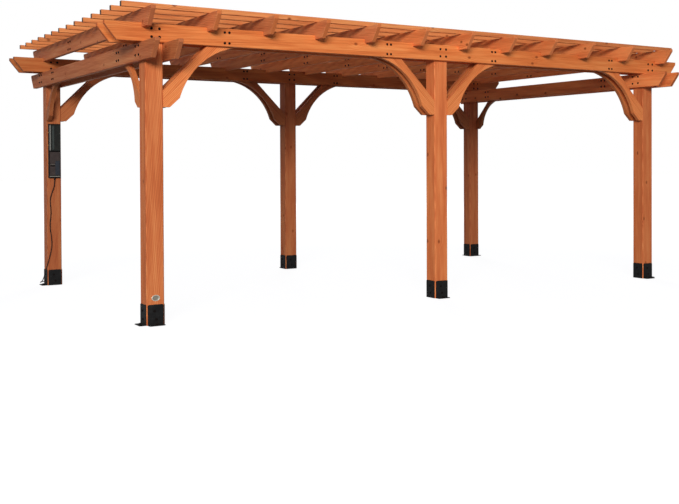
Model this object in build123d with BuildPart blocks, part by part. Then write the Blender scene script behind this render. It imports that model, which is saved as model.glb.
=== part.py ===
import os
from math import radians, tan

from build123d import *

# Timber pergola on six posts: doubled long beams on doubled side beams, notched rafters, roof slats.
# Millimetres, +X along the length, +Y from front to back, +Z up, origin on the ground at the middle.

# Posts
post_width = 140.0
post_spacing_x = 2675.0
post_spacing_y = 3004.0
post_easing = 6.0
post_top_drop = 10.0

# Boards of the beams, rafters and braces
board_thickness = 38.0
board_height = 140.0
board_easing = 3.0
tail_nose = 24.0
tail_run = 92.0

# Beams and roof
side_beam_underside = 2012.0
side_beam_length = 3814.0
long_beam_length = 6126.0
rafter_length = 3640.0
rafter_notch = 34.0
rafter_shares = [-1, -0.812, -0.638, -0.468, -0.293, -0.113, 0.068, 0.246, 0.426, 0.603, 0.8, 1]
slat_count = 14
slat_size = 38.0
slat_length = 5900.0
slat_inset = 181.0

# Knee braces, measured out from the post and up from the brace foot
brace_drop = 348.0
brace_top_drop = 12.0
long_foot_run = 54.0
long_elbow_out = 134.0
long_elbow_rise = 74.0
long_belly_out = 261.0
long_belly_rise = 300.0
long_tip_out = 620.0
long_tip_tuck = 4.0
long_back_rise = 127.0
side_foot_run = 40.0
side_elbow_out = 108.0
side_elbow_rise = 50.0
side_belly_out = 199.0
side_belly_rise = 242.0
side_tip_out = 480.0
side_tip_tuck = 11.0
side_back_rise = 100.0

# Steel foot brackets
bracket_width = 125.0
bracket_height = 158.0
bracket_thickness = 5.0
bracket_corner = 8.0
flange_reach = 48.0
anchor_hole = 13.0

# Outlet box on the back left post
box_width = 114.0
box_height = 545.0
box_depth = 34.0
box_top_gap = 30.0
box_easing = 3.0
cover_margin = 8.0
cover_height = 264.0
cover_depth = 42.0
cover_bevel = 8.0
panel_height = 112.0
panel_depth = 5.0
panel_gap = 12.0

# Supply cord below the outlet box
gland_diameter = 18.0
gland_length = 22.0
gland_taper = 7.0
cord_diameter = 9.0
plug_length = 46.0
plug_width = 32.0
plug_height = 24.0
plug_easing = 4.0
cord_bend_share = 0.45

# Levels and lines that the pieces share
side_beam_top = side_beam_underside + board_height
long_beam_underside = side_beam_top
long_beam_top = long_beam_underside + board_height
rafter_underside = long_beam_top - rafter_notch
rafter_top = rafter_underside + board_height
brace_foot_z = side_beam_underside - brace_drop
post_face = post_width / 2
beam_face = post_face + board_thickness
columns = {"left": -post_spacing_x, "middle": 0, "right": post_spacing_x}
rows = {"front": -post_spacing_y / 2, "back": post_spacing_y / 2}

os.makedirs("parts", exist_ok=True)


# A vertical plane whose local x points outwards and whose local y points up
def upright_plane(x, y, z, outward_x, outward_y):
    return Plane(origin=(x, y, z), x_dir=(outward_x, outward_y, 0), z_dir=(outward_y, -outward_x, 0))


# Outline of a board whose two ends are cut back below a short square nose
def tailed_outline(length):
    half = length / 2
    foot = half - tail_run
    nose = board_height - tail_nose
    with BuildSketch() as outline:
        with BuildLine():
            Polyline(
                (-foot, 0),
                (foot, 0),
                (half, nose),
                (half, board_height),
                (-half, board_height),
                (-half, nose),
                close=True,
            )
        make_face()
    return outline.sketch


# Outline of a curved knee brace, with a chamfered foot and a straight back edge
def brace_outline(foot_run, elbow, belly, tip, top, back_rise):
    with BuildSketch() as outline:
        with BuildLine():
            Polyline((0, 0), (foot_run, 0), elbow)
            ThreePointArc(elbow, belly, tip)
            Polyline(tip, (tip[0], top), (top - back_rise, top), (0, back_rise), (0, 0))
        make_face()
    return outline.sketch


# Posts with eased edges
for row, post_y in rows.items():
    for column, post_x in columns.items():
        post_name = f"{row}_{column}_post"
        with BuildPart() as post:
            with BuildSketch(Plane((post_x, post_y, 0))):
                Rectangle(post_width, post_width)
            extrude(amount=long_beam_top - post_top_drop)
            chamfer(post.edges().filter_by(Axis.Z), post_easing)
        post.part.label = post_name
        export_step(post.part, f"parts/{post_name}.step")

# Steel plates on the four faces of each post foot: those on the frame's outer faces turn out into anchor flanges
bracket_sides = [(1, 0), (0, 1), (-1, 0), (0, -1)]
plate_face = post_face + bracket_thickness
anchor_reach = plate_face + flange_reach / 2
for row, post_y in rows.items():
    for column, post_x in columns.items():
        feet_name = f"{row}_{column}_post_feet"
        outer_sides = [(side_x, side_y) for side_x, side_y in bracket_sides if side_x * post_x + side_y * post_y > 0]
        with BuildPart() as feet:
            for side_x, side_y in bracket_sides:
                with BuildSketch(upright_plane(post_x, post_y, 0, side_x, side_y)):
                    with Locations((post_face, 0)):
                        Rectangle(bracket_thickness, bracket_height, align=(Align.MIN, Align.MIN))
                    if (side_x, side_y) in outer_sides:
                        with Locations((plate_face, 0)):
                            Rectangle(flange_reach, bracket_thickness, align=(Align.MIN, Align.MIN))
                extrude(amount=bracket_width / 2, both=True)
            bracket_corners = feet.edges().group_by(SortBy.LENGTH)[0]
            chamfer(bracket_corners.filter_by(lambda edge: edge.center().Z > 0), bracket_corner)
            anchors = [(post_x + x * anchor_reach, post_y + y * anchor_reach, bracket_thickness) for x, y in outer_sides]
            with Locations(*anchors):
                Hole(anchor_hole / 2, depth=bracket_thickness)
        feet.part.label = feet_name
        export_step(feet.part, f"parts/{feet_name}.step")

# Side beams: a board on the outer and inner face of each end pair of posts
side_boards = {
    "left_outer_beam": -post_spacing_x - beam_face,
    "left_inner_beam": -post_spacing_x + post_face,
    "right_inner_beam": post_spacing_x - beam_face,
    "right_outer_beam": post_spacing_x + post_face,
}
for beam_name, board_x in side_boards.items():
    with BuildPart() as side_beam:
        with BuildSketch(upright_plane(board_x, 0, side_beam_underside, 0, 1)):
            add(tailed_outline(side_beam_length))
        extrude(amount=board_thickness)
        chamfer(side_beam.faces().filter_by(Axis.X).edges(), board_easing)
    side_beam.part.label = beam_name
    export_step(side_beam.part, f"parts/{beam_name}.step")

# Long beams: a board on the front and back face of each row of posts, resting on the side beams
long_boards = {
    "front_outer_beam": rows["front"] - post_face,
    "front_inner_beam": rows["front"] + beam_face,
    "back_inner_beam": rows["back"] - post_face,
    "back_outer_beam": rows["back"] + beam_face,
}
for beam_name, board_y in long_boards.items():
    with BuildPart() as long_beam:
        with BuildSketch(upright_plane(0, board_y, long_beam_underside, 1, 0)):
            add(tailed_outline(long_beam_length))
        extrude(amount=board_thickness)
        chamfer(long_beam.faces().filter_by(Axis.Y).edges(), board_easing)
    long_beam.part.label = beam_name
    export_step(long_beam.part, f"parts/{beam_name}.step")

# Knee braces, flush with the post faces and held between the boards of a beam: a pair along each long beam,
# a single board against the outer board of each side beam
long_brace = brace_outline(
    long_foot_run,
    (long_elbow_out, long_elbow_rise),
    (long_belly_out, long_belly_rise),
    (long_tip_out, long_beam_underside + long_tip_tuck - brace_foot_z),
    long_beam_top - brace_top_drop - brace_foot_z,
    long_back_rise,
)
side_brace = brace_outline(
    side_foot_run,
    (side_elbow_out, side_elbow_rise),
    (side_belly_out, side_belly_rise),
    (side_tip_out, side_beam_underside + side_tip_tuck - brace_foot_z),
    side_beam_top - brace_top_drop - brace_foot_z,
    side_back_rise,
)
brace_pair = (-post_face, post_face - board_thickness)
for row, post_y in rows.items():
    inward = 1 if row == "front" else -1
    left_side, right_side = brace_pair[::inward]
    brace_ways = {
        "left": [(1, 0, long_brace, brace_pair), (0, inward, side_brace, [left_side])],
        "middle": [(1, 0, long_brace, brace_pair), (-1, 0, long_brace, brace_pair)],
        "right": [(-1, 0, long_brace, brace_pair), (0, inward, side_brace, [right_side])],
    }
    for column, post_x in columns.items():
        brace_name = f"{row}_{column}_braces"
        with BuildPart() as braces:
            for way_x, way_y, outline, board_sides in brace_ways[column]:
                foot_x = post_x + way_x * post_face
                foot_y = post_y + way_y * post_face
                brace_plane = upright_plane(foot_x, foot_y, brace_foot_z, way_x, way_y)
                for board_side in board_sides:
                    with BuildSketch(brace_plane.offset(board_side)):
                        add(outline)
                    extrude(amount=board_thickness)
        braces.part.label = brace_name
        export_step(braces.part, f"parts/{brace_name}.step")

# Rafters across the long beams, notched over both boards of each, the end ones above the side beams
end_rafter_x = post_spacing_x + post_face + board_thickness / 2
for number, rafter_share in enumerate(rafter_shares, start=1):
    rafter_name = f"rafter_{number:02d}"
    rafter_x = rafter_share * end_rafter_x
    with BuildPart() as rafter:
        with BuildSketch(upright_plane(rafter_x - board_thickness / 2, 0, rafter_underside, 0, 1)):
            add(tailed_outline(rafter_length))
            with Locations(*[(row_y, 0) for row_y in rows.values()]):
                Rectangle(2 * beam_face, 2 * rafter_notch, mode=Mode.SUBTRACT)
        extrude(amount=board_thickness)
        chamfer(rafter.faces().filter_by(Axis.X).edges(), board_easing)
    rafter.part.label = rafter_name
    export_step(rafter.part, f"parts/{rafter_name}.step")

# Square slats along the roof, on top of the rafters
slat_pitch = (rafter_length - 2 * slat_inset) / (slat_count - 1)
slat_level = rafter_top + slat_size / 2
with BuildPart() as roof_slats:
    with BuildSketch(Plane(origin=(0, 0, slat_level), x_dir=(0, 1, 0), z_dir=(1, 0, 0))):
        with GridLocations(slat_pitch, slat_size, slat_count, 1):
            Rectangle(slat_size, slat_size)
    extrude(amount=slat_length / 2, both=True)
roof_slats.part.label = "roof_slats"
export_step(roof_slats.part, "parts/roof_slats.step")

# Outlet box on the front face of the back left post
box_x = columns["left"]
box_back = rows["back"] - post_face
box_front = box_back - box_depth
box_top = brace_foot_z - box_top_gap
box_bottom = box_top - box_height
with BuildPart() as outlet_box:
    with BuildSketch(Plane((box_x, box_back - box_depth / 2, box_bottom))):
        Rectangle(box_width, box_depth)
    extrude(amount=box_height)
    chamfer(outlet_box.faces().sort_by(Axis.Y)[0].edges(), box_easing)
outlet_box.part.label = "outlet_box"
export_step(outlet_box.part, "parts/outlet_box.step")

# Deep bevelled weather cover over the upper half of the box
cover_top = box_top - cover_margin
cover_width = box_width - 2 * cover_margin
with BuildPart() as outlet_cover:
    with BuildSketch(Plane((box_x, box_front - cover_depth / 2, cover_top - cover_height))):
        Rectangle(cover_width, cover_depth)
    extrude(amount=cover_height)
    chamfer(outlet_cover.faces().sort_by(Axis.Y)[0].edges(), cover_bevel)
outlet_cover.part.label = "outlet_cover"
export_step(outlet_cover.part, "parts/outlet_cover.step")

# Two flat panels below the cover
with BuildPart() as outlet_panels:
    for step in (1, 2):
        panel_bottom = cover_top - cover_height - step * (panel_gap + panel_height)
        with BuildSketch(Plane((box_x, box_front - panel_depth / 2, panel_bottom))):
            Rectangle(cover_width, panel_depth)
        extrude(amount=panel_height)
outlet_panels.part.label = "outlet_panels"
export_step(outlet_panels.part, "parts/outlet_panels.step")

# Tapered gland under the box, from which the cord drops down the post
gland_y = box_back - box_depth / 2
with BuildPart() as cord_gland:
    with BuildSketch(Plane(origin=(box_x, gland_y, box_bottom), z_dir=(0, 0, -1))):
        Circle(gland_diameter / 2)
    extrude(amount=gland_length, taper=gland_taper)
cord_gland.part.label = "cord_gland"
export_step(cord_gland.part, "parts/cord_gland.step")

# Cord route: across from the post centre, forward of its front face, above the ground
cord_route = [
    (0, 17, 1067),
    (0, 17, 1010),
    (-26, 11, 938),
    (-45, 9, 871),
    (-38, 10, 787),
    (-35, 9, 712),
    (-46, 9, 637),
    (-43, 10, 557),
    (-32, 9, 480),
    (-28, 9, 412),
    (-37, 9, 346),
    (-56, 10, 273),
    (-78, 9, 197),
    (-91, -20, 129),
    (-92, -70, 72),
    (-93, -130, 34),
    (-94, -190, 13),
    (-86, -244, 13),
    (-48, -284, 13),
    (4, -290, 13),
]
cord_points = [Vector(box_x + across, box_back - ahead, above) for across, ahead, above in cord_route]
cord_runs = [after - before for before, after in zip(cord_points, cord_points[1:])]
cord_radii = []
for run, next_run in zip(cord_runs, cord_runs[1:]):
    half_turn = radians(run.get_angle(next_run) / 2)
    cord_radii.append(cord_bend_share * min(run.length, next_run.length) / tan(half_turn))
print("cord radii", [round(radius) for radius in cord_radii])
with BuildPart() as power_cord:
    with BuildLine() as cord_line:
        FilletPolyline(*cord_points, radius=cord_radii)
    with BuildSketch(Plane(origin=cord_line.line @ 0, z_dir=cord_line.line % 0)):
        Circle(cord_diameter / 2)
    sweep()
power_cord.part.label = "power_cord"
export_step(power_cord.part, "parts/power_cord.step")

# Plug lying on the ground behind the post, at the end of the cord
with BuildPart() as power_plug:
    with BuildSketch(Plane(origin=cord_line.line @ 1, z_dir=cord_line.line % 1)):
        Rectangle(plug_width, plug_height)
    extrude(amount=plug_length)
    chamfer(power_plug.edges(), plug_easing)
power_plug.part.label = "power_plug"
export_step(power_plug.part, "parts/power_plug.step")
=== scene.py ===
import math

import bmesh
import bpy
from mathutils import Matrix, Vector


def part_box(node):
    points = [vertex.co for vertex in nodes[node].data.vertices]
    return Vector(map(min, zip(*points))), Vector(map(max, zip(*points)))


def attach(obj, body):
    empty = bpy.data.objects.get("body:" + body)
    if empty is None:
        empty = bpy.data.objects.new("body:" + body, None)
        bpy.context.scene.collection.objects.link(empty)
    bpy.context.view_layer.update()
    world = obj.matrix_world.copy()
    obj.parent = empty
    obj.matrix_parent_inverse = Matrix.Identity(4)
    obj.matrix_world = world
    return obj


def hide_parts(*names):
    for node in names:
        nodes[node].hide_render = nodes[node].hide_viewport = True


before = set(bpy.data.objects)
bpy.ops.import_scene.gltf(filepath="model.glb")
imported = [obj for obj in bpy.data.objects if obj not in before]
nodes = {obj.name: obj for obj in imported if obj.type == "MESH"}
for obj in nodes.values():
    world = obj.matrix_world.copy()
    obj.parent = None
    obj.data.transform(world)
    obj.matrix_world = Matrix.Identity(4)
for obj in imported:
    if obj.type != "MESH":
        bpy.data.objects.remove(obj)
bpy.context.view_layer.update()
scene = bpy.context.scene
scene.view_settings.view_transform = "Standard"
print("frame loaded,", len(nodes), "nodes")

# post grid of the timber frame, metres; beamFace is from a post's middle to the outside of its beam boards
posts = {"spacingX": 2.675, "halfY": 1.502, "beamFace": 0.108}
postPlaces = [(x, y) for y in (-posts["halfY"], posts["halfY"])
              for x in (-posts["spacingX"], 0.0, posts["spacingX"])]


# hex colour to linear values
def linearColour(hexText):
    values = [int(hexText[i:i + 2], 16) / 255 for i in (1, 3, 5)]
    return [v / 12.92 if v <= 0.04045 else ((v + 0.055) / 1.055) ** 2.4 for v in values] + [1.0]


# one node with its settings, input values and links
def addNode(tree, kind, inputs=None, links=None, **settings):
    node = tree.nodes.new(kind)
    for key, value in settings.items():
        setattr(node, key, value)
    for key, value in (inputs or {}).items():
        node.inputs[key].default_value = value
    for key, source in (links or {}).items():
        tree.links.new(source, node.inputs[key])
    return node


# the node tree of a material or the world, switched on and emptied
def emptyTree(owner):
    owner.use_nodes = True
    owner.node_tree.nodes.clear()
    return owner.node_tree


def newMaterial(name):
    material = bpy.data.materials.new(name)
    tree = emptyTree(material)
    surface = addNode(tree, "ShaderNodeBsdfPrincipled")
    addNode(tree, "ShaderNodeOutputMaterial", links={"Surface": surface.outputs["BSDF"]})
    return material, tree, surface


# links into the surface shader, by socket
def dressSurface(tree, surface, sources):
    for socket, source in sources.items():
        tree.links.new(source, surface.inputs[socket])


# colour ramp stops: place and hex colour
def setStops(ramp, stops):
    while len(ramp.elements) < len(stops):
        ramp.elements.new(0.5)
    for element, (place, colour) in zip(ramp.elements, stops):
        element.position = place
        element.color = linearColour(colour)


# camera fitted to the photo's posts, beams and roof; lengths in pixels of its 679 by 504 frame, turns in radians
view = {"place": (-5.24205, -8.91770, 1.23840), "turn": 0.5791, "nod": -0.0120, "roll": -0.0035,
        "focal": 992.65, "centreX": 400.71, "centreY": 173.75, "imageX": 679, "imageY": 504,
        "sensor": 36, "clip": 200}
lens = bpy.data.cameras.new("photoCamera")
lens.sensor_fit = "HORIZONTAL"
lens.sensor_width = view["sensor"]
lens.lens = view["focal"] * view["sensor"] / view["imageX"]
lens.shift_x = (view["imageX"] / 2 - view["centreX"]) / view["imageX"]
lens.shift_y = (view["centreY"] - view["imageY"] / 2) / view["imageX"]
lens.clip_end = view["clip"]
camera = bpy.data.objects.new("photoCamera", lens)
scene.collection.objects.link(camera)
camera.matrix_world = (Matrix.Translation(view["place"]) @ Matrix.Rotation(-view["turn"], 4, "Z")
                       @ Matrix.Rotation(math.pi / 2 + view["nod"], 4, "X")
                       @ Matrix.Rotation(view["roll"], 4, "Z"))
scene.camera = camera
print("camera set")

# supply cord, the same points as its solid, in mm: across the post, ahead of its face, above the ground
cordRoute = [(0, 17, 1067), (0, 17, 1010), (-26, 11, 938), (-45, 9, 871), (-38, 10, 787), (-35, 9, 712),
             (-46, 9, 637), (-43, 10, 557), (-32, 9, 480), (-28, 9, 412), (-37, 9, 346), (-56, 10, 273),
             (-78, 9, 197), (-91, -20, 129), (-92, -70, 72), (-93, -130, 34), (-94, -190, 13), (-86, -244, 13),
             (-48, -284, 13), (4, -290, 13)]
cordSizes = {"diameter": 0.009, "length": 1.323, "postX": -2.675, "faceY": 1.432, "runSteps": 12, "roundSteps": 5}
cordPoints = [(cordSizes["postX"] + a / 1000, cordSizes["faceY"] - f / 1000, h / 1000) for a, f, h in cordRoute]
cordCurve = bpy.data.curves.new("supplyCord", "CURVE")
cordCurve.dimensions = "3D"
cordSpline = cordCurve.splines.new("NURBS")
cordSpline.points.add(len(cordPoints) - 1)
for point, place in zip(cordSpline.points, cordPoints):
    point.co = (*place, 1)
cordSpline.order_u = 3
cordSpline.use_endpoint_u = True
cordSpline.resolution_u = cordSizes["runSteps"]
cordCurve.bevel_depth = cordSizes["diameter"] / 2
cordCurve.bevel_resolution = cordSizes["roundSteps"]
cordCurve.use_fill_caps = True
supplyCord = bpy.data.objects.new("supplyCord", cordCurve)
scene.collection.objects.link(supplyCord)
print("cord laid, length", round(cordSpline.calc_length(), 4))

# stained cedar: planed boards under a satin orange-brown stain, so the grain shows as darker bands and fine streaks;
# sizes in metres, the stretches divide a pattern along the grain, the shares weigh the patterns in the figure
cedar = {"stops": [(0.26, "#A54B20"), (0.44, "#C66230"), (0.58, "#DC763D"), (0.78, "#EC9556")], "knot": "#984A20",
         "bandSize": 0.012, "bandShare": 0.17, "fibreSize": 0.004, "fibreStretch": 0.02, "fibreShare": 0.45,
         "streakSize": 0.045, "streakShare": 0.50, "longStretch": 0.07, "ringSize": 0.0035,
         "knotAcross": 0.29, "knotAlong": 0.43, "knotEdge": 0.062, "knotHeart": 0.012,
         "swellEdge": 0.22, "swellHeart": 0.03, "swell": 0.007, "knotLift": 0.5,
         "boardScale": 2.3, "boardStretch": 0.12, "boardDeep": 0.86, "boardPale": 1.13,
         "endTilt": (0.55, 0.72), "satin": (0.76, 0.62), "specular": 0.18, "ior": 1.5,
         "bump": 0.35, "bumpDepth": 0.0012, "braceLean": math.radians(47), "pairBlend": 0.01}
grainTurns = {"x": (0, -math.pi / 2, 0), "y": (math.pi / 2, 0, 0), "z": (0, 0, 0)}
wavePeriod = {"diagonal": 0.628, "rings": 0.314}  # metres from crest to crest of a wave texture of scale 1


# a straight board: its grain is turned to Z, and so is the way that its faces look
def boardLay(tree, place, grain):
    lay = [addNode(tree, "ShaderNodeMapping", {"Rotation": grainTurns[grain]}, {"Vector": place.outputs[source]})
           for source in ("Object", "Normal")]
    return [node.outputs["Vector"] for node in lay]


# a set of braces: both arms of a pair are folded onto one, so the grain follows each brace
def braceLay(tree, place, fold, tone):
    parts = addNode(tree, "ShaderNodeSeparateXYZ", links={"Vector": place.outputs["Object"]})
    off, out = {}, {}
    for axis, middle in (("X", fold), ("Y", posts["halfY"])):
        size = addNode(tree, "ShaderNodeMath", links={0: parts.outputs[axis]}, operation="ABSOLUTE")
        less = addNode(tree, "ShaderNodeMath", {1: middle}, {0: size.outputs[0]}, operation="SUBTRACT")
        away = addNode(tree, "ShaderNodeMath", links={0: less.outputs[0]}, operation="ABSOLUTE")
        off[axis], out[axis] = less.outputs[0], away.outputs[0]
    reach = addNode(tree, "ShaderNodeMath", links={0: out["X"], 1: out["Y"]}, operation="MAXIMUM")
    depth = addNode(tree, "ShaderNodeMath", links={0: out["X"], 1: out["Y"]}, operation="MINIMUM")
    folded = addNode(tree, "ShaderNodeCombineXYZ",
                     links={"X": reach.outputs[0], "Y": depth.outputs[0], "Z": parts.outputs["Z"]})
    leaned = addNode(tree, "ShaderNodeMapping", {"Rotation": (0, -cedar["braceLean"], 0)},
                     {"Vector": folded.outputs["Vector"]})
    # the board further back in each pair and the braces under the side beams are drawn darker, as painted shade
    # between the boards and under the beams
    onSide = addNode(tree, "ShaderNodeMath", links={0: out["Y"], 1: out["X"]}, operation="GREATER_THAN")
    pairPaintedShade = addNode(tree, "ShaderNodeMapRange",
                       {"From Min": -cedar["pairBlend"], "From Max": cedar["pairBlend"],
                        "To Min": tone["inner"], "To Max": tone["outer"]}, {"Value": off["Y"]})
    bracePaintedShade = addNode(tree, "ShaderNodeMapRange", {"To Max": tone["side"]},
                        {"Value": onSide.outputs[0], "To Min": pairPaintedShade.outputs[0]})
    return leaned.outputs["Vector"], bracePaintedShade.outputs[0]


def stainedCedar(name, tone, fold=None):
    material, tree, surface = newMaterial(name)
    place = addNode(tree, "ShaderNodeTexCoord")
    if fold is None:
        across, facing = boardLay(tree, place, tone["grain"])
    else:
        across, bracePaintedShade = braceLay(tree, place, fold, tone)
    # soft-edged knots up to 36 mm across, one to each 0.29 by 0.43 m of a face, with the grain swelling round them
    perAcross, perAlong = 1 / cedar["knotAcross"], 1 / cedar["knotAlong"]
    knotSide = addNode(tree, "ShaderNodeVectorMath", {1: (perAcross, -perAcross, 0)}, {0: across},
                       operation="DOT_PRODUCT")
    knotRun = addNode(tree, "ShaderNodeVectorMath", {1: (0, 0, perAlong)}, {0: across}, operation="DOT_PRODUCT")
    knotSpace = addNode(tree, "ShaderNodeCombineXYZ",
                        links={"X": knotSide.outputs["Value"], "Y": knotRun.outputs["Value"]})
    knots = addNode(tree, "ShaderNodeTexVoronoi", {"Scale": 1.0, "Randomness": 1.0},
                    {"Vector": knotSpace.outputs[0]}, voronoi_dimensions="2D")
    knotCore = addNode(tree, "ShaderNodeMapRange", {"From Min": cedar["knotEdge"], "From Max": cedar["knotHeart"]},
                       {"Value": knots.outputs["Distance"]}, interpolation_type="SMOOTHSTEP")
    knotSwell = addNode(tree, "ShaderNodeMapRange",
                        {"From Min": cedar["swellEdge"], "From Max": cedar["swellHeart"], "To Max": cedar["swell"]},
                        {"Value": knots.outputs["Distance"]}, interpolation_type="SMOOTHSTEP")
    swollen = addNode(tree, "ShaderNodeVectorMath", links={0: across, 1: knotSwell.outputs[0]}, operation="ADD")
    # growth bands, drawn 12 mm apart so that they show, stretched along the board
    longSpace = addNode(tree, "ShaderNodeVectorMath", {1: (1, 1, cedar["longStretch"])}, {0: swollen.outputs[0]},
                        operation="MULTIPLY")
    bands = addNode(tree, "ShaderNodeTexWave",
                    {"Scale": wavePeriod["diagonal"] / cedar["bandSize"], "Distortion": 9.0, "Detail": 2.0,
                     "Detail Scale": 0.16, "Detail Roughness": 0.6},
                    {"Vector": longSpace.outputs[0]}, wave_type="BANDS", bands_direction="DIAGONAL")
    # fine fibres, drawn 4 mm wide and 200 mm long so that they show
    fibreSpace = addNode(tree, "ShaderNodeVectorMath", {1: (1, 1, cedar["fibreStretch"])}, {0: across},
                         operation="MULTIPLY")
    fibres = addNode(tree, "ShaderNodeTexNoise", {"Scale": 1 / cedar["fibreSize"], "Detail": 3.0, "Roughness": 0.6},
                     {"Vector": fibreSpace.outputs[0]})
    # broad streaks, 45 mm wide, where the stain took differently
    streaks = addNode(tree, "ShaderNodeTexNoise",
                      {"Scale": 1 / cedar["streakSize"], "Detail": 2.0, "Roughness": 0.5},
                      {"Vector": longSpace.outputs[0]})
    bandPart = addNode(tree, "ShaderNodeMath", {1: cedar["bandShare"]}, {0: bands.outputs["Fac"]},
                       operation="MULTIPLY")
    fibrePart = addNode(tree, "ShaderNodeMath", {1: cedar["fibreShare"]},
                        {0: fibres.outputs["Fac"], 2: bandPart.outputs[0]}, operation="MULTIPLY_ADD")
    figure = addNode(tree, "ShaderNodeMath", {1: cedar["streakShare"]},
                     {0: streaks.outputs["Fac"], 2: fibrePart.outputs[0]}, operation="MULTIPLY_ADD")
    stain = addNode(tree, "ShaderNodeValToRGB", links={"Fac": figure.outputs[0]})
    setStops(stain.color_ramp, cedar["stops"])
    # each board a little lighter or darker than its neighbour
    boardSpace = addNode(tree, "ShaderNodeVectorMath", {1: (1, 1, cedar["boardStretch"])}, {0: across},
                         operation="MULTIPLY")
    boardTone = addNode(tree, "ShaderNodeTexNoise", {"Scale": cedar["boardScale"], "Detail": 1.0},
                        {"Vector": boardSpace.outputs[0]})
    # each board's own random tone, times its row's value, which is painted shade and light by where the board stands
    boardValue = addNode(tree, "ShaderNodeMapRange",
                         {"From Min": 0.3, "From Max": 0.7, "To Min": cedar["boardDeep"] * tone["value"],
                          "To Max": cedar["boardPale"] * tone["value"]}, {"Value": boardTone.outputs["Fac"]})
    # braces: darkened by the painted shade between the boards of a pair and under the side beams
    if fold is not None:
        boardValue = addNode(tree, "ShaderNodeMath", links={0: boardValue.outputs[0], 1: bracePaintedShade},
                             operation="MULTIPLY")
    toned = addNode(tree, "ShaderNodeHueSaturation", {"Hue": tone["hue"], "Saturation": tone["saturation"]},
                    {"Color": stain.outputs["Color"], "Value": boardValue.outputs[0]})
    coloured = addNode(tree, "ShaderNodeMix", {7: linearColour(cedar["knot"])},
                       {0: knotCore.outputs[0], 6: toned.outputs["Color"]}, data_type="RGBA")
    if fold is None:
        # sawn ends soak up the stain in their own way and show the rings, 3.5 mm apart
        ends = addNode(tree, "ShaderNodeSeparateXYZ", links={"Vector": facing})
        endSize = addNode(tree, "ShaderNodeMath", links={0: ends.outputs["Z"]}, operation="ABSOLUTE")
        endMask = addNode(tree, "ShaderNodeMapRange",
                          {"From Min": cedar["endTilt"][0], "From Max": cedar["endTilt"][1]},
                          {"Value": endSize.outputs[0]})
        rings = addNode(tree, "ShaderNodeTexWave",
                        {"Scale": wavePeriod["rings"] / cedar["ringSize"], "Distortion": 3.0, "Detail": 1.0,
                         "Detail Scale": 0.2}, {"Vector": across}, wave_type="RINGS", rings_direction="Z")
        ringColour = addNode(tree, "ShaderNodeMix",
                             {6: linearColour(tone["endDark"]), 7: linearColour(tone["endPale"])},
                             {0: rings.outputs["Fac"]}, data_type="RGBA")
        coloured = addNode(tree, "ShaderNodeMix",
                           links={0: endMask.outputs[0], 6: coloured.outputs[2], 7: ringColour.outputs[2]},
                           data_type="RGBA")
    gloss = addNode(tree, "ShaderNodeMapRange",
                    {"From Min": 0.3, "From Max": 0.8, "To Min": cedar["satin"][0], "To Max": cedar["satin"][1]},
                    {"Value": figure.outputs[0]})
    height = addNode(tree, "ShaderNodeMath", {1: cedar["knotLift"]},
                     {0: knotCore.outputs[0], 2: figure.outputs[0]}, operation="MULTIPLY_ADD")
    bump = addNode(tree, "ShaderNodeBump", {"Strength": cedar["bump"], "Distance": cedar["bumpDepth"]},
                   {"Height": height.outputs[0]})
    dressSurface(tree, surface, {"Base Color": coloured.outputs[2], "Roughness": gloss.outputs[0],
                                 "Normal": bump.outputs[0]})
    surface.inputs["IOR"].default_value = cedar["ior"]
    surface.inputs["Specular IOR Level"].default_value = cedar["specular"]
    return material


# boards by where they stand: the back row, the left side beams and the first rafter are drawn darker, as painted
# shade, and the front beam, the right side beams, the rafters from the sixth on and the slats lighter, as painted
# light;
# the right front post is a little darker than the other front posts, and each row has its own sawn-end colours, hue
# and saturation
boardToneAndShade = {
    "frontPost": {"grain": "z", "value": 1.07, "saturation": 0.99, "hue": 0.5,
                  "endDark": "#8A4520", "endPale": "#C66230"},
    "rightPost": {"grain": "z", "value": 0.95, "saturation": 0.99, "hue": 0.499,
                  "endDark": "#8A4520", "endPale": "#C66230"},
    "backPost": {"grain": "z", "value": 0.75, "saturation": 0.98, "hue": 0.5,
                 "endDark": "#8A4520", "endPale": "#C66230"},
    "frontBeam": {"grain": "x", "value": 1.15, "saturation": 1.0, "hue": 0.503,
                  "endDark": "#A44F20", "endPale": "#E26E32"},
    "backBeam": {"grain": "x", "value": 0.72, "saturation": 1.0, "hue": 0.503,
                 "endDark": "#5E3018", "endPale": "#8A4520"},
    "endBeam": {"grain": "y", "value": 0.73, "saturation": 0.97, "hue": 0.503,
                "endDark": "#A05732", "endPale": "#CC7648"},
    "rightBeam": {"grain": "y", "value": 1.28, "saturation": 0.985, "hue": 0.503,
                  "endDark": "#B4572C", "endPale": "#CE6E3C"},
    "paleRafter": {"grain": "y", "value": 1.28, "saturation": 0.985, "hue": 0.503,
                   "endDark": "#D66E3A", "endPale": "#F09056"},
    "endRafter": {"grain": "y", "value": 0.86, "saturation": 0.965, "hue": 0.502,
                  "endDark": "#AE5C34", "endPale": "#CC7448"},
    "deepRafter": {"grain": "y", "value": 1.02, "saturation": 0.965, "hue": 0.503,
                   "endDark": "#CA6634", "endPale": "#E48248"},
    "slat": {"grain": "x", "value": 1.06, "saturation": 0.97, "hue": 0.507,
             "endDark": "#2E190D", "endPale": "#4A2A16"}}
boardFinishes = {key: stainedCedar("stainedCedar" + key[0].upper() + key[1:], tone)
                 for key, tone in boardToneAndShade.items()}
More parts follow.
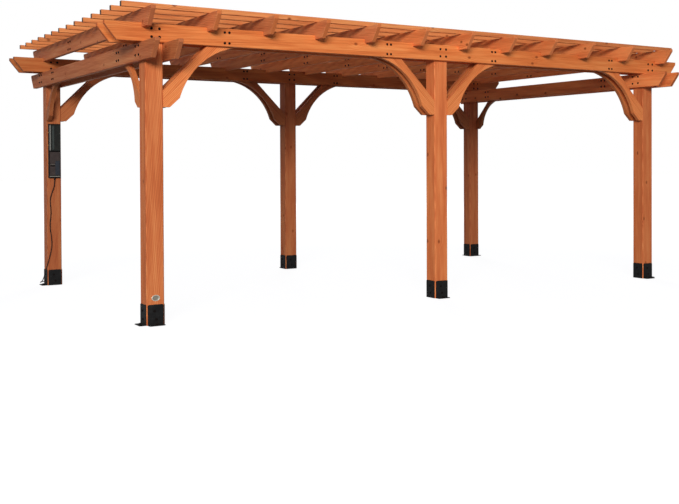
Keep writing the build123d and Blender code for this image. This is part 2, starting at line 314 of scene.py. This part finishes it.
# brace rows: the back row's value is painted shade under the roof; inner, outer and side darken the board further
# back in each pair and the braces under the side beams, as painted shade
braceToneAndShade = {"front": {"value": 1.06, "saturation": 0.99, "hue": 0.503, "inner": 0.66, "outer": 1.0, "side": 0.82},
              "back": {"value": 0.62, "saturation": 0.98, "hue": 0.502, "inner": 1.0, "outer": 0.8, "side": 0.75}}
braceFinishes = {(row, spot): stainedCedar(f"stainedCedar{row.title()}{spot.title()}Brace", tone, fold)
                 for row, tone in braceToneAndShade.items()
                 for spot, fold in (("corner", posts["spacingX"]), ("middle", 0.0))}

# coated steel: black powder baked on pressed plate, matt, a fine orange peel with a little dust on it
steelCoat = {"peelSize": 0.0025, "scuffSize": 0.04, "matt": (0.74, 0.86), "specular": 0.1,
             "bump": 0.2, "bumpDepth": 0.0004}
noiseSpan = (0.3, 0.7)  # the part of a noise texture's range that is used


def coatedSteel(name, stops):
    material, tree, surface = newMaterial(name)
    place = addNode(tree, "ShaderNodeTexCoord")
    peel = addNode(tree, "ShaderNodeTexNoise", {"Scale": 1 / steelCoat["peelSize"], "Detail": 2.0},
                   {"Vector": place.outputs["Object"]})
    scuff = addNode(tree, "ShaderNodeTexNoise",
                    {"Scale": 1 / steelCoat["scuffSize"], "Detail": 4.0, "Roughness": 0.65},
                    {"Vector": place.outputs["Object"]})
    colour = addNode(tree, "ShaderNodeValToRGB", links={"Fac": scuff.outputs["Fac"]})
    setStops(colour.color_ramp, stops)
    gloss = addNode(tree, "ShaderNodeMapRange",
                    {"From Min": noiseSpan[0], "From Max": noiseSpan[1], "To Min": steelCoat["matt"][0],
                     "To Max": steelCoat["matt"][1]}, {"Value": scuff.outputs["Fac"]})
    bump = addNode(tree, "ShaderNodeBump", {"Strength": steelCoat["bump"], "Distance": steelCoat["bumpDepth"]},
                   {"Height": peel.outputs["Fac"]})
    dressSurface(tree, surface, {"Base Color": colour.outputs["Color"], "Roughness": gloss.outputs[0],
                                 "Normal": bump.outputs[0]})
    surface.inputs["Specular IOR Level"].default_value = steelCoat["specular"]
    return material


# moulded plastic and rubber: a spark-eroded mould leaves a fine texture, drawn 1.8 mm wide so that it shows,
# under a faint mottling
mould = {"sparkSize": 0.0018, "mottleSize": 0.03, "bump": 0.15, "bumpDepth": 0.0003}


def mouldedPlastic(name, dark, pale, roughLow, roughHigh, specular):
    material, tree, surface = newMaterial(name)
    place = addNode(tree, "ShaderNodeTexCoord")
    spark = addNode(tree, "ShaderNodeTexNoise", {"Scale": 1 / mould["sparkSize"], "Detail": 2.0},
                    {"Vector": place.outputs["Object"]})
    mottle = addNode(tree, "ShaderNodeTexNoise", {"Scale": 1 / mould["mottleSize"], "Detail": 3.0},
                     {"Vector": place.outputs["Object"]})
    colour = addNode(tree, "ShaderNodeValToRGB", links={"Fac": mottle.outputs["Fac"]})
    setStops(colour.color_ramp, list(zip(noiseSpan, (dark, pale))))
    gloss = addNode(tree, "ShaderNodeMapRange",
                    {"From Min": noiseSpan[0], "From Max": noiseSpan[1], "To Min": roughLow, "To Max": roughHigh},
                    {"Value": mottle.outputs["Fac"]})
    bump = addNode(tree, "ShaderNodeBump", {"Strength": mould["bump"], "Distance": mould["bumpDepth"]},
                   {"Height": spark.outputs["Fac"]})
    dressSurface(tree, surface, {"Base Color": colour.outputs["Color"], "Roughness": gloss.outputs[0],
                                 "Normal": bump.outputs[0]})
    surface.inputs["Specular IOR Level"].default_value = specular
    return material


# bare metals: rolled or turned, with fine brushing across the face, drawn 0.8 mm wide so that it shows
brushing = {"size": 0.0008, "stretch": 0.03, "roughSpread": 0.08}


def brushedMetal(name, dark, pale, rough):
    material, tree, surface = newMaterial(name)
    place = addNode(tree, "ShaderNodeTexCoord")
    brushSpace = addNode(tree, "ShaderNodeVectorMath", {1: (brushing["stretch"], brushing["stretch"], 1)},
                         {0: place.outputs["Object"]}, operation="MULTIPLY")
    brush = addNode(tree, "ShaderNodeTexNoise", {"Scale": 1 / brushing["size"], "Detail": 2.0},
                    {"Vector": brushSpace.outputs[0]})
    colour = addNode(tree, "ShaderNodeValToRGB", links={"Fac": brush.outputs["Fac"]})
    setStops(colour.color_ramp, list(zip(noiseSpan, (dark, pale))))
    gloss = addNode(tree, "ShaderNodeMapRange",
                    {"From Min": noiseSpan[0], "From Max": noiseSpan[1], "To Min": rough - brushing["roughSpread"],
                     "To Max": rough + brushing["roughSpread"]}, {"Value": brush.outputs["Fac"]})
    dressSurface(tree, surface, {"Base Color": colour.outputs["Color"], "Roughness": gloss.outputs[0]})
    surface.inputs["Metallic"].default_value = 1.0
    return material


# foot plates, and screws with a near-black phosphate finish
blackSteel = coatedSteel("blackPowderCoatedSteel", [(0.35, "#151414"), (0.6, "#201F1E"), (0.8, "#2E2C2B")])
screwMetal = coatedSteel("blackPhosphateSteel", [(0.35, "#0A0504"), (0.6, "#120907"), (0.8, "#1C110E")])
# outlet box, from its near-black body to the pale gasket, then the cord's matt rubber
boxPlastic = mouldedPlastic("charcoalAbs", "#0E0A09", "#191312", 0.6, 0.74, 0.12)
coverPlastic = mouldedPlastic("blackPolycarbonate", "#131411", "#1F201C", 0.38, 0.5, 0.16)
# the rib's lighter, greener plastic is a painted highlight, the light caught along the rib
paintedHighlightRibPlastic = mouldedPlastic("ribPolycarbonatePaintedHighlight", "#262D29", "#343C37", 0.3, 0.42, 0.3)
lipPlastic = mouldedPlastic("warmGreyAbs", "#564F48", "#665F56", 0.5, 0.6, 0.25)
panelPlastic = mouldedPlastic("greyAbs", "#352C29", "#413734", 0.5, 0.62, 0.16)
doorPlastic = mouldedPlastic("slateAbs", "#25282D", "#2F333A", 0.45, 0.56, 0.16)
stripPlastic = mouldedPlastic("paleGreyGasket", "#8E8B7E", "#A5A194", 0.5, 0.6, 0.4)
cordRubber = mouldedPlastic("blackCordRubber", "#120807", "#1C0F0C", 0.55, 0.7, 0.15)
# oval plate's bright rim and duller field, and the box's yellow screws
badgeMetal = brushedMetal("brushedAluminium", "#A39E90", "#CFC9BA", 0.34)
fieldMetal = brushedMetal("satinAluminium", "#6E695F", "#8B867A", 0.46)
brassMetal = brushedMetal("brass", "#A8824A", "#D0AE70", 0.32)
print("materials made")

outletFinishes = {"outlet_box": boxPlastic, "outlet_cover": coverPlastic, "outlet_panels": panelPlastic}
rowBoards = {"front": "frontBeam", "back": "backBeam", "left": "endBeam", "right": "rightBeam", "roof": "slat"}


# the finish of a solid, from its name
def nodeFinish(name):
    row = name.split("_")[0]
    if name.endswith("_feet"):
        return blackSteel
    if name.endswith("_braces"):
        return braceFinishes[row, "middle" if "middle" in name else "corner"]
    if name.endswith("_post"):
        return boardFinishes["backPost" if row == "back" else "rightPost" if "right" in name else "frontPost"]
    if row == "rafter":
        return boardFinishes["endRafter" if name == "rafter_01" else "deepRafter" if name < "rafter_06"
                             else "paleRafter"]
    if row in rowBoards:
        return boardFinishes[rowBoards[row]]
    return outletFinishes.get(name, cordRubber)


for name, node in nodes.items():
    node.data.materials.clear()
    node.data.materials.append(nodeFinish(name))
print("node finishes set")

# a six-sided head with a low crown on a round washer; the crown's sizes are shares of the head's, and each one is
# turned by up to about a sixth of a round
fastenerShape = {"washerSides": 16, "headSides": 6, "crownSides": 12, "crownBase": 0.94, "crownTop": 0.72,
                 "crownDepth": 0.28, "turn": 1.05, "seed": 7}


# a fastener on every point, turned to the point's facing
def fastenerTree(name):
    tree = bpy.data.node_groups.new(name, "GeometryNodeTree")
    sockets = tree.interface
    sockets.new_socket("Geometry", in_out="INPUT", socket_type="NodeSocketGeometry")
    for label in ("Washer Radius", "Washer Height", "Head Radius", "Head Height"):
        sockets.new_socket(label, in_out="INPUT", socket_type="NodeSocketFloat")
    sockets.new_socket("Finish", in_out="INPUT", socket_type="NodeSocketMaterial")
    sockets.new_socket("Geometry", in_out="OUTPUT", socket_type="NodeSocketGeometry")
    given = addNode(tree, "NodeGroupInput")
    washerHeight, headHeight = given.outputs["Washer Height"], given.outputs["Head Height"]
    headRadius = given.outputs["Head Radius"]
    washer = addNode(tree, "GeometryNodeMeshCylinder", {"Vertices": fastenerShape["washerSides"]},
                     {"Radius": given.outputs["Washer Radius"], "Depth": washerHeight})
    head = addNode(tree, "GeometryNodeMeshCylinder", {"Vertices": fastenerShape["headSides"]},
                   {"Radius": headRadius, "Depth": headHeight})
    crownSizes = [addNode(tree, "ShaderNodeMath", {1: fastenerShape[key]}, {0: whole}, operation="MULTIPLY")
                  for key, whole in (("crownTop", headRadius), ("crownBase", headRadius), ("crownDepth", headHeight))]
    crown = addNode(tree, "GeometryNodeMeshCone", {"Vertices": fastenerShape["crownSides"]},
                    {label: size.outputs[0] for label, size in
                     zip(("Radius Top", "Radius Bottom", "Depth"), crownSizes)})
    washerLift = addNode(tree, "ShaderNodeMath", {1: 0.5}, {0: washerHeight}, operation="MULTIPLY")
    headLift = addNode(tree, "ShaderNodeMath", {1: 0.5}, {0: headHeight, 2: washerHeight}, operation="MULTIPLY_ADD")
    crownLift = addNode(tree, "ShaderNodeMath", links={0: washerHeight, 1: headHeight}, operation="ADD")
    joined = addNode(tree, "GeometryNodeJoinGeometry")
    for shape, lift in ((washer, washerLift), (head, headLift), (crown, crownLift)):
        rise = addNode(tree, "ShaderNodeCombineXYZ", links={"Z": lift.outputs[0]})
        raised = addNode(tree, "GeometryNodeTransform",
                         links={"Geometry": shape.outputs["Mesh"], "Translation": rise.outputs[0]})
        tree.links.new(raised.outputs[0], joined.inputs[0])
    facing = addNode(tree, "GeometryNodeInputNamedAttribute", {"Name": "facing"}, data_type="FLOAT_VECTOR")
    aligned = addNode(tree, "FunctionNodeAlignRotationToVector", links={"Vector": facing.outputs["Attribute"]},
                      axis="Z")
    placed = addNode(tree, "GeometryNodeInstanceOnPoints",
                     links={"Points": given.outputs["Geometry"], "Instance": joined.outputs[0],
                            "Rotation": aligned.outputs[0]})
    spin = addNode(tree, "FunctionNodeRandomValue", {"Seed": fastenerShape["seed"], 3: fastenerShape["turn"]},
                   data_type="FLOAT")
    spinTurn = addNode(tree, "ShaderNodeCombineXYZ", links={"Z": spin.outputs[1]})
    spun = addNode(tree, "GeometryNodeRotateInstances",
                   links={"Instances": placed.outputs[0], "Rotation": spinTurn.outputs[0]})
    solid = addNode(tree, "GeometryNodeRealizeInstances", links={"Geometry": spun.outputs[0]})
    finished = addNode(tree, "GeometryNodeSetMaterial",
                       links={"Geometry": solid.outputs[0], "Material": given.outputs["Finish"]})
    addNode(tree, "NodeGroupOutput", links={"Geometry": finished.outputs[0]})
    return tree


fasteners = fastenerTree("fastenerHeads")


# places are pairs of a point and the way its fastener looks
def setFasteners(name, places, sizes, finish):
    mesh = bpy.data.meshes.new(name)
    mesh.from_pydata([point for point, _ in places], [], [])
    facing = mesh.attributes.new("facing", "FLOAT_VECTOR", "POINT")
    for item, (_, direction) in zip(facing.data, places):
        item.vector = direction
    piece = bpy.data.objects.new(name, mesh)
    scene.collection.objects.link(piece)
    modifier = piece.modifiers.new("heads", "NODES")
    modifier.node_group = fasteners
    values = dict(sizes, Finish=finish)
    for item in fasteners.interface.items_tree:
        if item.in_out == "INPUT" and item.name in values:
            modifier[item.identifier] = values[item.name]
    made = bpy.data.meshes.new_from_object(piece.evaluated_get(bpy.context.evaluated_depsgraph_get()))
    piece.modifiers.clear()
    piece.data = made
    made.name = name
    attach(piece, "root")


# structural screws through the beams, black washer heads in fours at each post and brace
beamScrews = {"Washer Radius": 0.0105, "Washer Height": 0.0016, "Head Radius": 0.0064, "Head Height": 0.0042}
screwRows = {"longPostX": (-0.031, 0.031), "longPostZ": (2.190, 2.253),
             "longBraceOut": (0.561, 0.600), "longBraceZ": (2.178, 2.262),
             "sidePostY": (-0.038, 0.038), "sidePostZ": (2.057, 2.126),
             "sideBraceOut": (0.450, 0.502), "sideBraceZ": (2.056, 2.119)}
screwPlaces = []
for postX, postY in postPlaces:
    for side in (-1, 1):
        faceY = postY + side * posts["beamFace"]
        for z in screwRows["longPostZ"]:
            screwPlaces += [((postX + dx, faceY, z), (0, side, 0)) for dx in screwRows["longPostX"]]
        ways = (-1, 1) if postX == 0 else (-math.copysign(1, postX),)
        for z in screwRows["longBraceZ"]:
            screwPlaces += [((postX + way * out, faceY, z), (0, side, 0))
                            for way in ways for out in screwRows["longBraceOut"]]
        if postX != 0:
            faceX = postX + side * posts["beamFace"]
            inward = -math.copysign(1, postY)
            for z in screwRows["sidePostZ"]:
                screwPlaces += [((faceX, postY + dy, z), (side, 0, 0)) for dy in screwRows["sidePostY"]]
            for z in screwRows["sideBraceZ"]:
                screwPlaces += [((faceX, postY + inward * out, z), (side, 0, 0))
                                for out in screwRows["sideBraceOut"]]
setFasteners("beamScrews", screwPlaces, beamScrews, screwMetal)

# bolts in fours through every rafter, a little behind the middle of the roof
rafterBolts = {"count": 12, "halfBoard": 0.019, "y": (0.381, 0.447), "z": (2.285, 2.353)}
rafterBoxes = [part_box(f"rafter_{i:02d}") for i in range(1, rafterBolts["count"] + 1)]
rafterRows = [(low.x + high.x) / 2 for low, high in rafterBoxes]
boltPlaces = [((x + side * rafterBolts["halfBoard"], y, z), (side, 0, 0))
              for x in rafterRows for side in (-1, 1) for y in rafterBolts["y"] for z in rafterBolts["z"]]
setFasteners("rafterBolts", boltPlaces, beamScrews, screwMetal)

# post feet: an anchor bolt in every flange and two coach screws in every plate
anchorBolts = {"Washer Radius": 0.0125, "Washer Height": 0.0025, "Head Radius": 0.0095, "Head Height": 0.0075}
plateScrews = {"Washer Radius": 0.010, "Washer Height": 0.0015, "Head Radius": 0.0072, "Head Height": 0.005}
footRows = {"anchorReach": 0.099, "flangeTop": 0.005, "plateFace": 0.075,
            "plateZ": (0.046, 0.108), "plateSide": (0.004, -0.010)}
anchorPlaces, platePlaces = [], []
for postX, postY in postPlaces:
    for dx, dy in ((1, 0), (0, 1), (-1, 0), (0, -1)):
        if dx * postX + dy * postY > 0:  # flanges stand on the outer faces only
            anchorPlaces.append(((postX + dx * footRows["anchorReach"], postY + dy * footRows["anchorReach"],
                                  footRows["flangeTop"]), (0, 0, 1)))
        faceX, faceY = postX + dx * footRows["plateFace"], postY + dy * footRows["plateFace"]
        for z, side in zip(footRows["plateZ"], footRows["plateSide"]):
            platePlaces.append(((faceX - dy * side, faceY + dx * side, z), (dx, dy, 0)))
setFasteners("anchorBolts", anchorPlaces, anchorBolts, screwMetal)
setFasteners("plateScrews", platePlaces, plateScrews, screwMetal)

# slat screws: one through each slat into each rafter
slatScrews = {"Washer Radius": 0.0048, "Washer Height": 0.0008, "Head Radius": 0.0034, "Head Height": 0.0012}
slats = {"count": 14, "width": 0.038}
slatLow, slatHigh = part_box("roof_slats")
slatStep = (slatHigh.y - slatLow.y - slats["width"]) / (slats["count"] - 1)
slatRows = [slatLow.y + slats["width"] / 2 + i * slatStep for i in range(slats["count"])]
slatPlaces = [((x, y, slatHigh.z), (0, 0, 1)) for x in rafterRows for y in slatRows]
setFasteners("slatScrews", slatPlaces, slatScrews, screwMetal)
print("fasteners set", len(screwPlaces), len(boltPlaces), len(anchorPlaces), len(platePlaces), len(slatPlaces))


def pieceFrom(name, shape, finish, smooth=True):
    mesh = bpy.data.meshes.new(name)
    bmesh.ops.recalc_face_normals(shape, faces=shape.faces)
    shape.to_mesh(mesh)
    shape.free()
    mesh.materials.append(finish)
    for face in mesh.polygons:
        face.use_smooth = smooth
    piece = bpy.data.objects.new(name, mesh)
    scene.collection.objects.link(piece)
    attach(piece, "root")
    return piece


# bare oval plate low on the front left post: a dished field inside a raised rim; a ring is its share of the oval
# and its lift off the post, and the last one is the middle
badge = {"x": -2.6735, "z": 0.207, "faceY": -1.572, "width": 0.066, "height": 0.048, "sides": 48, "fieldRing": 3,
         "rings": ((1.0, 0.0), (1.0, 0.0022), (0.96, 0.003), (0.80, 0.003), (0.74, 0.0014), (0.4, 0.002),
                   (0.0, 0.0022))}
plate = bmesh.new()
loops = []
for share, lift in badge["rings"]:
    count = badge["sides"] if share else 1
    turns = [2 * math.pi * i / count for i in range(count)]
    loops.append([plate.verts.new((badge["x"] + share * badge["width"] / 2 * math.cos(turn), badge["faceY"] - lift,
                                   badge["z"] + share * badge["height"] / 2 * math.sin(turn))) for turn in turns])
for ring, (outer, inner) in enumerate(zip(loops, loops[1:])):
    for i in range(badge["sides"]):
        j = (i + 1) % badge["sides"]
        rest = (inner[0],) if len(inner) == 1 else (inner[j], inner[i])
        plate.faces.new((outer[i], outer[j], *rest)).material_index = int(ring >= badge["fieldRing"])
plate.faces.new(loops[0])
barePlate = pieceFrom("bareBadge", plate, badgeMetal)
barePlate.data.materials.append(fieldMetal)
print("badge made")


# outlet trims: blocks with eased edges, each given by its reach across, to the back and up
def trimPiece(name, blocks, finish):
    shape = bmesh.new()
    for *reaches, ease in blocks:
        verts = bmesh.ops.create_cube(shape, size=1.0)["verts"]
        for vert in verts:
            vert.co = [low + (v + 0.5) * (high - low) for (low, high), v in zip(reaches, vert.co)]
        edges = [edge for edge in shape.edges if edge.verts[0] in verts]
        bmesh.ops.bevel(shape, geom=edges, offset=ease, segments=2, profile=0.5, affect="EDGES")
    pieceFrom(name, shape, finish, smooth=False)


# easings and how far the trims stand proud, then heights; those of the apron, the lip, the painted shadow under the
# lip and the doors' tops are from the lower panel's middle
outletTrim = {"proud": 0.0015, "easing": 0.0008, "doorProud": 0.003, "doorEasing": 0.0012, "ribProud": 0.003,
              "bevel": 0.008, "gasketFoot": 0.004, "gasketHead": 0.006, "ribShare": (0.17, 0.34), "ribInset": 0.011,
              "plinth": 0.012, "lineHeight": 0.006, "doorGap": 0.004, "splitShare": 0.52,
              "apron": (-0.004, 0.008), "lip": (-0.011, -0.004), "paintedShadow": (-0.029, -0.013),
              "leftTop": -0.030, "rightTop": 0.028, "screwZ": (1.546, 1.420)}
boxLow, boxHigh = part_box("outlet_box")
coverLow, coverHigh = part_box("outlet_cover")
panelLow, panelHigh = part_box("outlet_panels")
proud, easing, doorEasing = outletTrim["proud"], outletTrim["easing"], outletTrim["doorEasing"]
# pale gasket down the left side of the cover, a raised rib on its face, drawn lighter and greener than the cover as a
# painted highlight, and a pale line above the box's black foot
trimPiece("coverGasket", [((coverLow.x - proud, coverLow.x + proud), (coverLow.y + outletTrim["bevel"], coverHigh.y),
                           (coverLow.z + outletTrim["gasketFoot"], coverHigh.z - outletTrim["gasketHead"]), easing)],
          stripPlastic)
ribSides = [coverLow.x + share * (coverHigh.x - coverLow.x) for share in outletTrim["ribShare"]]
trimPiece("coverRib", [(ribSides, (coverLow.y - outletTrim["ribProud"], coverLow.y + proud),
                        (coverLow.z + outletTrim["ribInset"], coverHigh.z - outletTrim["ribInset"]), doorEasing)],
          paintedHighlightRibPlastic)
lineFoot = boxLow.z + outletTrim["plinth"]
trimPiece("boxFootLine", [((panelLow.x, panelHigh.x), (boxLow.y - proud, boxLow.y + proud),
                           (lineFoot, lineFoot + outletTrim["lineHeight"]), easing)], stripPlastic)
# two socket doors on the lower panel, the left one under a pale drip lip with a dark strip below it as the lip's
# painted shadow
panelMiddle = (panelLow.z + panelHigh.z) / 2
doorSplit = panelLow.x + (panelHigh.x - panelLow.x) * outletTrim["splitShare"]
gap = outletTrim["doorGap"]
doorFace, doorBack, doorFoot = panelLow.y - outletTrim["doorProud"], panelLow.y + proud, panelLow.z + gap
leftSides = (panelLow.x + gap, doorSplit - gap / 2)
rightSides = (doorSplit + gap / 2, panelHigh.x - gap)
apron, lip, paintedShadow = [[panelMiddle + rise for rise in outletTrim[key]] for key in ("apron", "lip", "paintedShadow")]
trimPiece("leftSocketDoor",
          [(leftSides, (doorFace, doorBack), (doorFoot, panelMiddle + outletTrim["leftTop"]), doorEasing),
           (leftSides, (panelLow.y - proud, panelHigh.y), apron, easing)], panelPlastic)
trimPiece("dripLip", [(leftSides, (doorFace - proud, panelHigh.y), lip, easing)], lipPlastic)
# dark strip under the lip: painted shadow, not a part of the box
trimPiece("paintedLipShadow", [(leftSides, (panelLow.y - proud / 2, doorBack), paintedShadow, easing / 2)],
          boxPlastic)
trimPiece("rightSocketDoor",
          [(rightSides, (doorFace, doorBack), (doorFoot, panelMiddle + outletTrim["rightTop"]), doorEasing)],
          doorPlastic)
boxScrews = {"Washer Radius": 0.0065, "Washer Height": 0.002, "Head Radius": 0.0045, "Head Height": 0.003}
boxScrewPlaces = [((boxLow.x, (boxLow.y + boxHigh.y) / 2, z), (-1, 0, 0)) for z in outletTrim["screwZ"]]
setFasteners("boxScrews", boxScrewPlaces, boxScrews, brassMetal)
print("outlet trims made")

# the cord's finish and its declaration
cordCurve.materials.append(cordRubber)
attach(supplyCord, "root")
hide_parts("power_cord")


# 1 for what the camera, a reflection or glass sees, 0 for light that only bounces
def seenShare(tree):
    rays = addNode(tree, "ShaderNodeLightPath")
    seen = addNode(tree, "ShaderNodeMath",
                   links={0: rays.outputs["Is Camera Ray"], 1: rays.outputs["Is Glossy Ray"]}, operation="MAXIMUM")
    seenAll = addNode(tree, "ShaderNodeMath", links={0: seen.outputs[0], 1: rays.outputs["Is Transmission Ray"]},
                      operation="MAXIMUM")
    return seenAll.outputs[0]


# floor: pale and matt, near white to the eye with the shadow kept, greyer as a bounce
floorLook = {"size": 60, "drop": 0.0008, "tone": "#76828E", "share": 0.16,
             "near": 4.0, "glowNear": 0.93, "far": 10.0, "glowFar": 1.0}
floorShape = bmesh.new()
bmesh.ops.create_grid(floorShape, x_segments=1, y_segments=1, size=floorLook["size"])
floorMesh = bpy.data.meshes.new("paleFloor")
floorShape.to_mesh(floorMesh)
floorShape.free()
floor = bpy.data.objects.new("paleFloor", floorMesh)
floor.location.z = -floorLook["drop"]
scene.collection.objects.link(floor)
floorPaint = bpy.data.materials.new("paleFloorPaint")
tree = emptyTree(floorPaint)
bounce = addNode(tree, "ShaderNodeBsdfDiffuse", {"Color": linearColour(floorLook["tone"])})
shade = addNode(tree, "ShaderNodeBsdfDiffuse", {"Color": (floorLook["share"],) * 3 + (1,)})
ground = addNode(tree, "ShaderNodeTexCoord")
reach = addNode(tree, "ShaderNodeVectorMath", links={0: ground.outputs["Object"]}, operation="LENGTH")
fade = addNode(tree, "ShaderNodeMapRange",
               {"From Min": floorLook["near"], "From Max": floorLook["far"],
                "To Min": floorLook["glowNear"], "To Max": floorLook["glowFar"]}, {"Value": reach.outputs["Value"]})
glow = addNode(tree, "ShaderNodeEmission", {"Color": (1, 1, 1, 1)}, {"Strength": fade.outputs[0]})
pale = addNode(tree, "ShaderNodeAddShader", links={0: shade.outputs[0], 1: glow.outputs[0]})
mixed = addNode(tree, "ShaderNodeMixShader", links={0: seenShare(tree), 1: bounce.outputs[0], 2: pale.outputs[0]})
addNode(tree, "ShaderNodeOutputMaterial", links={"Surface": mixed.outputs[0]})
floorMesh.materials.append(floorPaint)

# sky: white to the eye, a soft pale blue as a light
skyLook = {"level": 0.25, "tone": "#CADDFF", "seenTone": "#FFFFFF"}
scene.world = bpy.data.worlds.new("studioSky")
tree = emptyTree(scene.world)
seen = seenShare(tree)
level = addNode(tree, "ShaderNodeMapRange", {"To Min": skyLook["level"], "To Max": 1.0}, {"Value": seen})
tint = addNode(tree, "ShaderNodeMix",
               {6: linearColour(skyLook["tone"]), 7: linearColour(skyLook["seenTone"])}, {0: seen}, data_type="RGBA")
sky = addNode(tree, "ShaderNodeBackground", links={"Color": tint.outputs[2], "Strength": level.outputs[0]})
addNode(tree, "ShaderNodeOutputWorld", links={"Surface": sky.outputs[0]})

# two soft boxes: a wide key beside the camera and to its left, a weaker one behind the object for its far faces
lightAim = Vector((0, 0, 1.2))
softBoxes = {"keySoftBox": {"place": (-13.1, -19.7, 6.5), "width": 9.6, "height": 4.0, "power": 4400},
             "backSoftBox": {"place": (9.0, 17.0, 7.0), "width": 5.0, "height": 5.0, "power": 1100}}
for name, box in softBoxes.items():
    lamp = bpy.data.lights.new(name, "AREA")
    lamp.shape = "RECTANGLE"
    lamp.size = box["width"]
    lamp.size_y = box["height"]
    lamp.energy = box["power"]
    lampObject = bpy.data.objects.new(name, lamp)
    lampObject.location = box["place"]
    lampObject.rotation_euler = (lightAim - Vector(box["place"])).to_track_quat("-Z", "Y").to_euler()
    lampObject.visible_camera = False
    scene.collection.objects.link(lampObject)
print("stage and light set")
